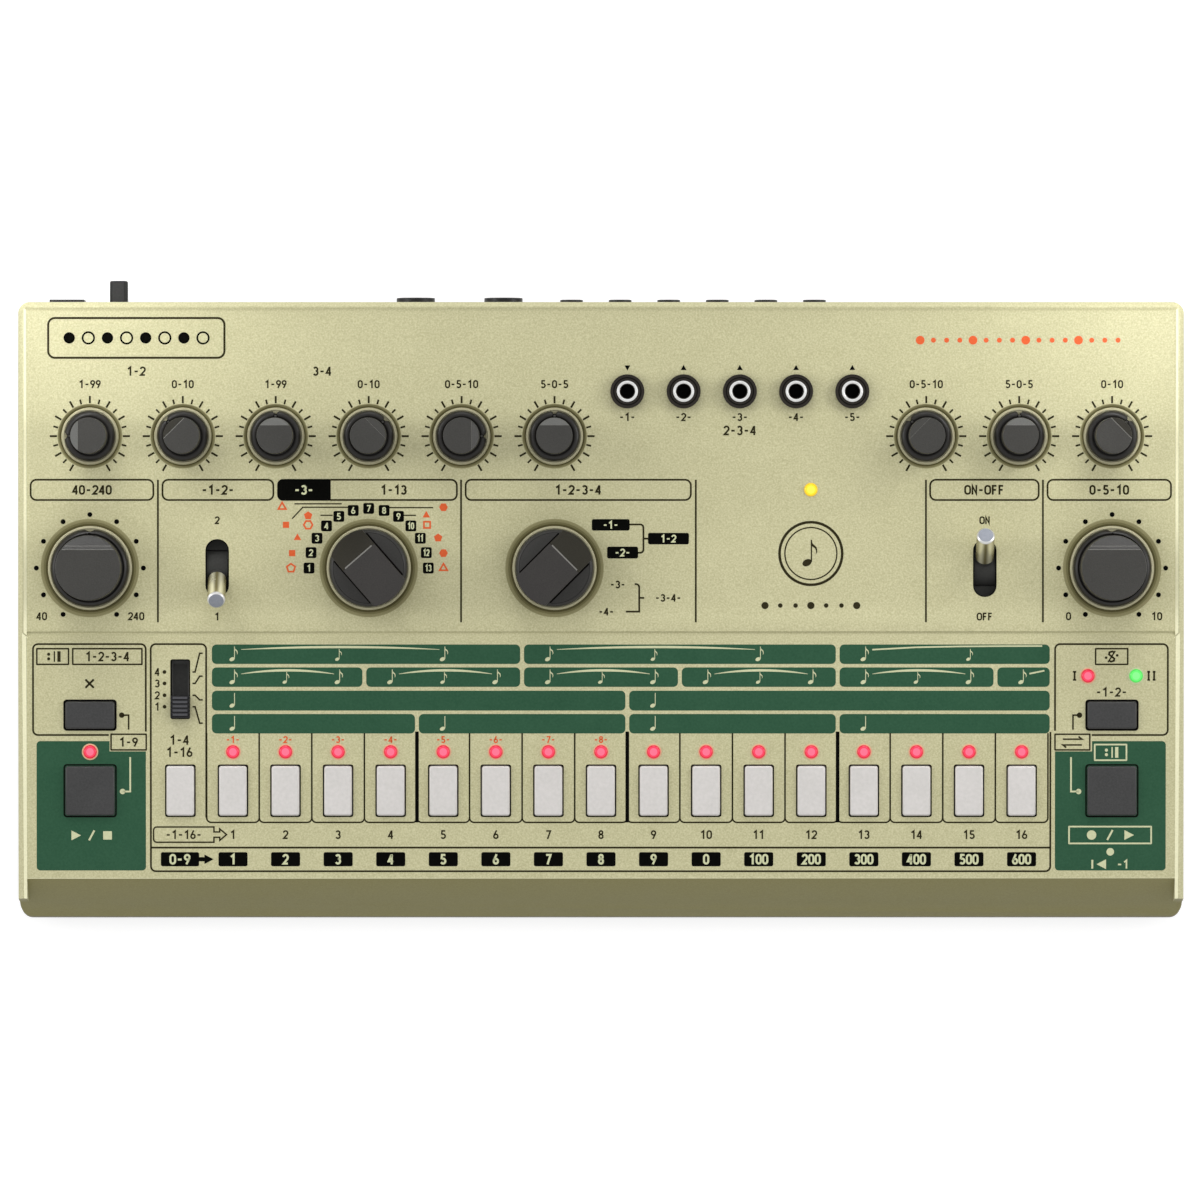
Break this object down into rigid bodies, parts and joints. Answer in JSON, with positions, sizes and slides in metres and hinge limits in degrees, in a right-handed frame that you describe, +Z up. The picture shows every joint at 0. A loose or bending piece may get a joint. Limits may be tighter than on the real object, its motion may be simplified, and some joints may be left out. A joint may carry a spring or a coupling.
{
  "type": "drum machine",
  "caption": "Desktop drum machine with a sloping two-part panel, pointer knobs, rotary selectors, levers, step keys, lamps and jack sockets.",
  "frame": {"origin": "bottom centre of the whole object, on the table", "axes": "+X along the front towards the volume knob, +Y to the rear sockets, +Z up"},
  "size_m": [0.305, 0.1674, 0.0542],
  "materials": {
    "cover_paint": "fine speckled satin paint, pale olive gold",
    "base_plastic": "satin, dark olive",
    "foot_rubber": "matte",
    "knob_black": "satin",
    "toggle_metal": "polished",
    "key_white": "satin",
    "button_dark": "satin",
    "socket_plastic": "satin",
    "socket_metal": "plated",
    "switch_bodies": "matte",
    "board": "solder mask",
    "ribbon": "satin",
    "lamp_red": "lit lens",
    "lamp_yellow": "lit lens",
    "lamp_green": "lit lens"
  },
  "bodies": {
    "housing": {"bottom_cover": "base_plastic", "control_board": "board", "dc_inlet": "socket_plastic", "green_lamp": "lamp_green", "key_board": "board", "key_switches": "switch_bodies", "midi_sockets": "socket_plastic", "output_sockets": "socket_plastic", "panel_jacks": "socket_plastic", "pot_bodies": "switch_bodies", "power_switch_body": "switch_bodies", "rear_board": "board", "rear_jacks": "socket_plastic", "red_lamps": "lamp_red", "ribbon_cables": "ribbon", "rubber_feet": "foot_rubber", "selector_bodies": "switch_bodies", "slide_switch_body": "switch_bodies", "toggle_switch_bodies": "switch_bodies", "top_cover": "cover_paint", "usb_socket": "socket_metal", "yellow_lamp": "lamp_yellow"},
    "voice_knob_1": {"voice_knob_1": "knob_black"},
    "voice_knob_2": {"voice_knob_2": "knob_black"},
    "voice_knob_3": {"voice_knob_3": "knob_black"},
    "voice_knob_4": {"voice_knob_4": "knob_black"},
    "voice_knob_5": {"voice_knob_5": "knob_black"},
    "voice_knob_6": {"voice_knob_6": "knob_black"},
    "voice_knob_7": {"voice_knob_7": "knob_black"},
    "voice_knob_8": {"voice_knob_8": "knob_black"},
    "voice_knob_9": {"voice_knob_9": "knob_black"},
    "tempo_knob": {"tempo_knob": "knob_black"},
    "volume_knob": {"volume_knob": "knob_black"},
    "instrument_selector": {"instrument_selector": "knob_black"},
    "mode_selector": {"mode_selector": "knob_black"},
    "left_toggle": {"left_toggle": "toggle_metal"},
    "right_toggle": {"right_toggle": "toggle_metal"},
    "scale_slider": {"scale_slider": "button_dark"},
    "step_key_01": {"step_key_01": "key_white"},
    "step_key_02": {"step_key_02": "key_white"},
    "step_key_03": {"step_key_03": "key_white"},
    "step_key_04": {"step_key_04": "key_white"},
    "step_key_05": {"step_key_05": "key_white"},
    "step_key_06": {"step_key_06": "key_white"},
    "step_key_07": {"step_key_07": "key_white"},
    "step_key_08": {"step_key_08": "key_white"},
    "step_key_09": {"step_key_09": "key_white"},
    "step_key_10": {"step_key_10": "key_white"},
    "step_key_11": {"step_key_11": "key_white"},
    "step_key_12": {"step_key_12": "key_white"},
    "step_key_13": {"step_key_13": "key_white"},
    "step_key_14": {"step_key_14": "key_white"},
    "step_key_15": {"step_key_15": "key_white"},
    "step_key_16": {"step_key_16": "key_white"},
    "function_key": {"function_key": "key_white"},
    "start_button": {"start_button": "button_dark"},
    "write_button": {"write_button": "button_dark"},
    "clear_button": {"clear_button": "button_dark"},
    "group_button": {"group_button": "button_dark"},
    "power_button": {"power_button": "socket_plastic"}
  },
  "joints": [
    {"name": "voice_knob_1_turn", "type": "hinge", "parent": "housing", "child": "voice_knob_1", "pos_m": [-0.1337, 0.0397, 0.04033], "axis": [0, -0.1045, 0.9945], "range_deg": [-240, 60]},
    {"name": "voice_knob_2_turn", "type": "hinge", "parent": "housing", "child": "voice_knob_2", "pos_m": [-0.10939, 0.0397, 0.04033], "axis": [0, -0.1045, 0.9945], "range_deg": [-195, 105]},
    {"name": "voice_knob_3_turn", "type": "hinge", "parent": "housing", "child": "voice_knob_3", "pos_m": [-0.08508, 0.0397, 0.04033], "axis": [0, -0.1045, 0.9945], "range_deg": [-150, 150]},
    {"name": "voice_knob_4_turn", "type": "hinge", "parent": "housing", "child": "voice_knob_4", "pos_m": [-0.06077, 0.0397, 0.04033], "axis": [0, -0.1045, 0.9945], "range_deg": [-105, 195]},
    {"name": "voice_knob_5_turn", "type": "hinge", "parent": "housing", "child": "voice_knob_5", "pos_m": [-0.03646, 0.0397, 0.04033], "axis": [0, -0.1045, 0.9945], "range_deg": [-60, 240]},
    {"name": "voice_knob_6_turn", "type": "hinge", "parent": "housing", "child": "voice_knob_6", "pos_m": [-0.01215, 0.0397, 0.04033], "axis": [0, -0.1045, 0.9945], "range_deg": [-150, 150]},
    {"name": "voice_knob_7_turn", "type": "hinge", "parent": "housing", "child": "voice_knob_7", "pos_m": [0.08508, 0.0397, 0.04033], "axis": [0, -0.1045, 0.9945], "range_deg": [-195, 105]},
    {"name": "voice_knob_8_turn", "type": "hinge", "parent": "housing", "child": "voice_knob_8", "pos_m": [0.10939, 0.0397, 0.04033], "axis": [0, -0.1045, 0.9945], "range_deg": [-150, 150]},
    {"name": "voice_knob_9_turn", "type": "hinge", "parent": "housing", "child": "voice_knob_9", "pos_m": [0.1337, 0.0397, 0.04033], "axis": [0, -0.1045, 0.9945], "range_deg": [-105, 195]},
    {"name": "tempo_knob_turn", "type": "hinge", "parent": "housing", "child": "tempo_knob", "pos_m": [-0.1337, 0.00539, 0.03673], "axis": [0, -0.1045, 0.9945], "range_deg": [-150, 150]},
    {"name": "volume_knob_turn", "type": "hinge", "parent": "housing", "child": "volume_knob", "pos_m": [0.1337, 0.00539, 0.03673], "axis": [0, -0.1045, 0.9945], "range_deg": [-150, 150]},
    {"name": "instrument_selector_turn", "type": "hinge", "parent": "housing", "child": "instrument_selector", "pos_m": [-0.06077, 0.00539, 0.03673], "axis": [0, -0.1045, 0.9945], "range_deg": [-131, 49]},
    {"name": "mode_selector_turn", "type": "hinge", "parent": "housing", "child": "mode_selector", "pos_m": [-0.01215, 0.00539, 0.03673], "axis": [0, -0.1045, 0.9945], "range_deg": [-90, 0]},
    {"name": "left_toggle_tilt", "type": "hinge", "parent": "housing", "child": "left_toggle", "pos_m": [-0.1004, 0.00602, 0.03076], "axis": [1, 0, 0], "range_deg": [-57.8, 0]},
    {"name": "right_toggle_tilt", "type": "hinge", "parent": "housing", "child": "right_toggle", "pos_m": [0.1004, 0.00602, 0.03076], "axis": [1, 0, 0], "range_deg": [0, 57.8]},
    {"name": "scale_slider_slide", "type": "slide", "parent": "housing", "child": "scale_slider", "axis": [0, 0.9903, 0.1392], "range_m": [0, 0.00915]},
    {"name": "step_key_01_press", "type": "slide", "parent": "housing", "child": "step_key_01", "axis": [0, 0.1392, -0.9903], "range_m": [0, 0.001], "stiffness_N_per_m": 200},
    {"name": "step_key_02_press", "type": "slide", "parent": "housing", "child": "step_key_02", "axis": [0, 0.1392, -0.9903], "range_m": [0, 0.001], "stiffness_N_per_m": 200},
    {"name": "step_key_03_press", "type": "slide", "parent": "housing", "child": "step_key_03", "axis": [0, 0.1392, -0.9903], "range_m": [0, 0.001], "stiffness_N_per_m": 200},
    {"name": "step_key_04_press", "type": "slide", "parent": "housing", "child": "step_key_04", "axis": [0, 0.1392, -0.9903], "range_m": [0, 0.001], "stiffness_N_per_m": 200},
    {"name": "step_key_05_press", "type": "slide", "parent": "housing", "child": "step_key_05", "axis": [0, 0.1392, -0.9903], "range_m": [0, 0.001], "stiffness_N_per_m": 200},
    {"name": "step_key_06_press", "type": "slide", "parent": "housing", "child": "step_key_06", "axis": [0, 0.1392, -0.9903], "range_m": [0, 0.001], "stiffness_N_per_m": 200},
    {"name": "step_key_07_press", "type": "slide", "parent": "housing", "child": "step_key_07", "axis": [0, 0.1392, -0.9903], "range_m": [0, 0.001], "stiffness_N_per_m": 200},
    {"name": "step_key_08_press", "type": "slide", "parent": "housing", "child": "step_key_08", "axis": [0, 0.1392, -0.9903], "range_m": [0, 0.001], "stiffness_N_per_m": 200},
    {"name": "step_key_09_press", "type": "slide", "parent": "housing", "child": "step_key_09", "axis": [0, 0.1392, -0.9903], "range_m": [0, 0.001], "stiffness_N_per_m": 200},
    {"name": "step_key_10_press", "type": "slide", "parent": "housing", "child": "step_key_10", "axis": [0, 0.1392, -0.9903], "range_m": [0, 0.001], "stiffness_N_per_m": 200},
    {"name": "step_key_11_press", "type": "slide", "parent": "housing", "child": "step_key_11", "axis": [0, 0.1392, -0.9903], "range_m": [0, 0.001], "stiffness_N_per_m": 200},
    {"name": "step_key_12_press", "type": "slide", "parent": "housing", "child": "step_key_12", "axis": [0, 0.1392, -0.9903], "range_m": [0, 0.001], "stiffness_N_per_m": 200},
    {"name": "step_key_13_press", "type": "slide", "parent": "housing", "child": "step_key_13", "axis": [0, 0.1392, -0.9903], "range_m": [0, 0.001], "stiffness_N_per_m": 200},
    {"name": "step_key_14_press", "type": "slide", "parent": "housing", "child": "step_key_14", "axis": [0, 0.1392, -0.9903], "range_m": [0, 0.001], "stiffness_N_per_m": 200},
    {"name": "step_key_15_press", "type": "slide", "parent": "housing", "child": "step_key_15", "axis": [0, 0.1392, -0.9903], "range_m": [0, 0.001], "stiffness_N_per_m": 200},
    {"name": "step_key_16_press", "type": "slide", "parent": "housing", "child": "step_key_16", "axis": [0, 0.1392, -0.9903], "range_m": [0, 0.001], "stiffness_N_per_m": 200},
    {"name": "function_key_press", "type": "slide", "parent": "housing", "child": "function_key", "axis": [0, 0.1392, -0.9903], "range_m": [0, 0.001], "stiffness_N_per_m": 200},
    {"name": "start_button_press", "type": "slide", "parent": "housing", "child": "start_button", "axis": [0, 0.1392, -0.9903], "range_m": [0, 0.001], "stiffness_N_per_m": 200},
    {"name": "write_button_press", "type": "slide", "parent": "housing", "child": "write_button", "axis": [0, 0.1392, -0.9903], "range_m": [0, 0.001], "stiffness_N_per_m": 200},
    {"name": "clear_button_press", "type": "slide", "parent": "housing", "child": "clear_button", "axis": [0, 0.1392, -0.9903], "range_m": [0, 0.001], "stiffness_N_per_m": 200},
    {"name": "group_button_press", "type": "slide", "parent": "housing", "child": "group_button", "axis": [0, 0.1392, -0.9903], "range_m": [0, 0.001], "stiffness_N_per_m": 200},
    {"name": "power_button_press", "type": "slide", "parent": "housing", "child": "power_button", "axis": [0, -0.9945, -0.1045], "range_m": [0, 0.003], "stiffness_N_per_m": 200}
  ]
}
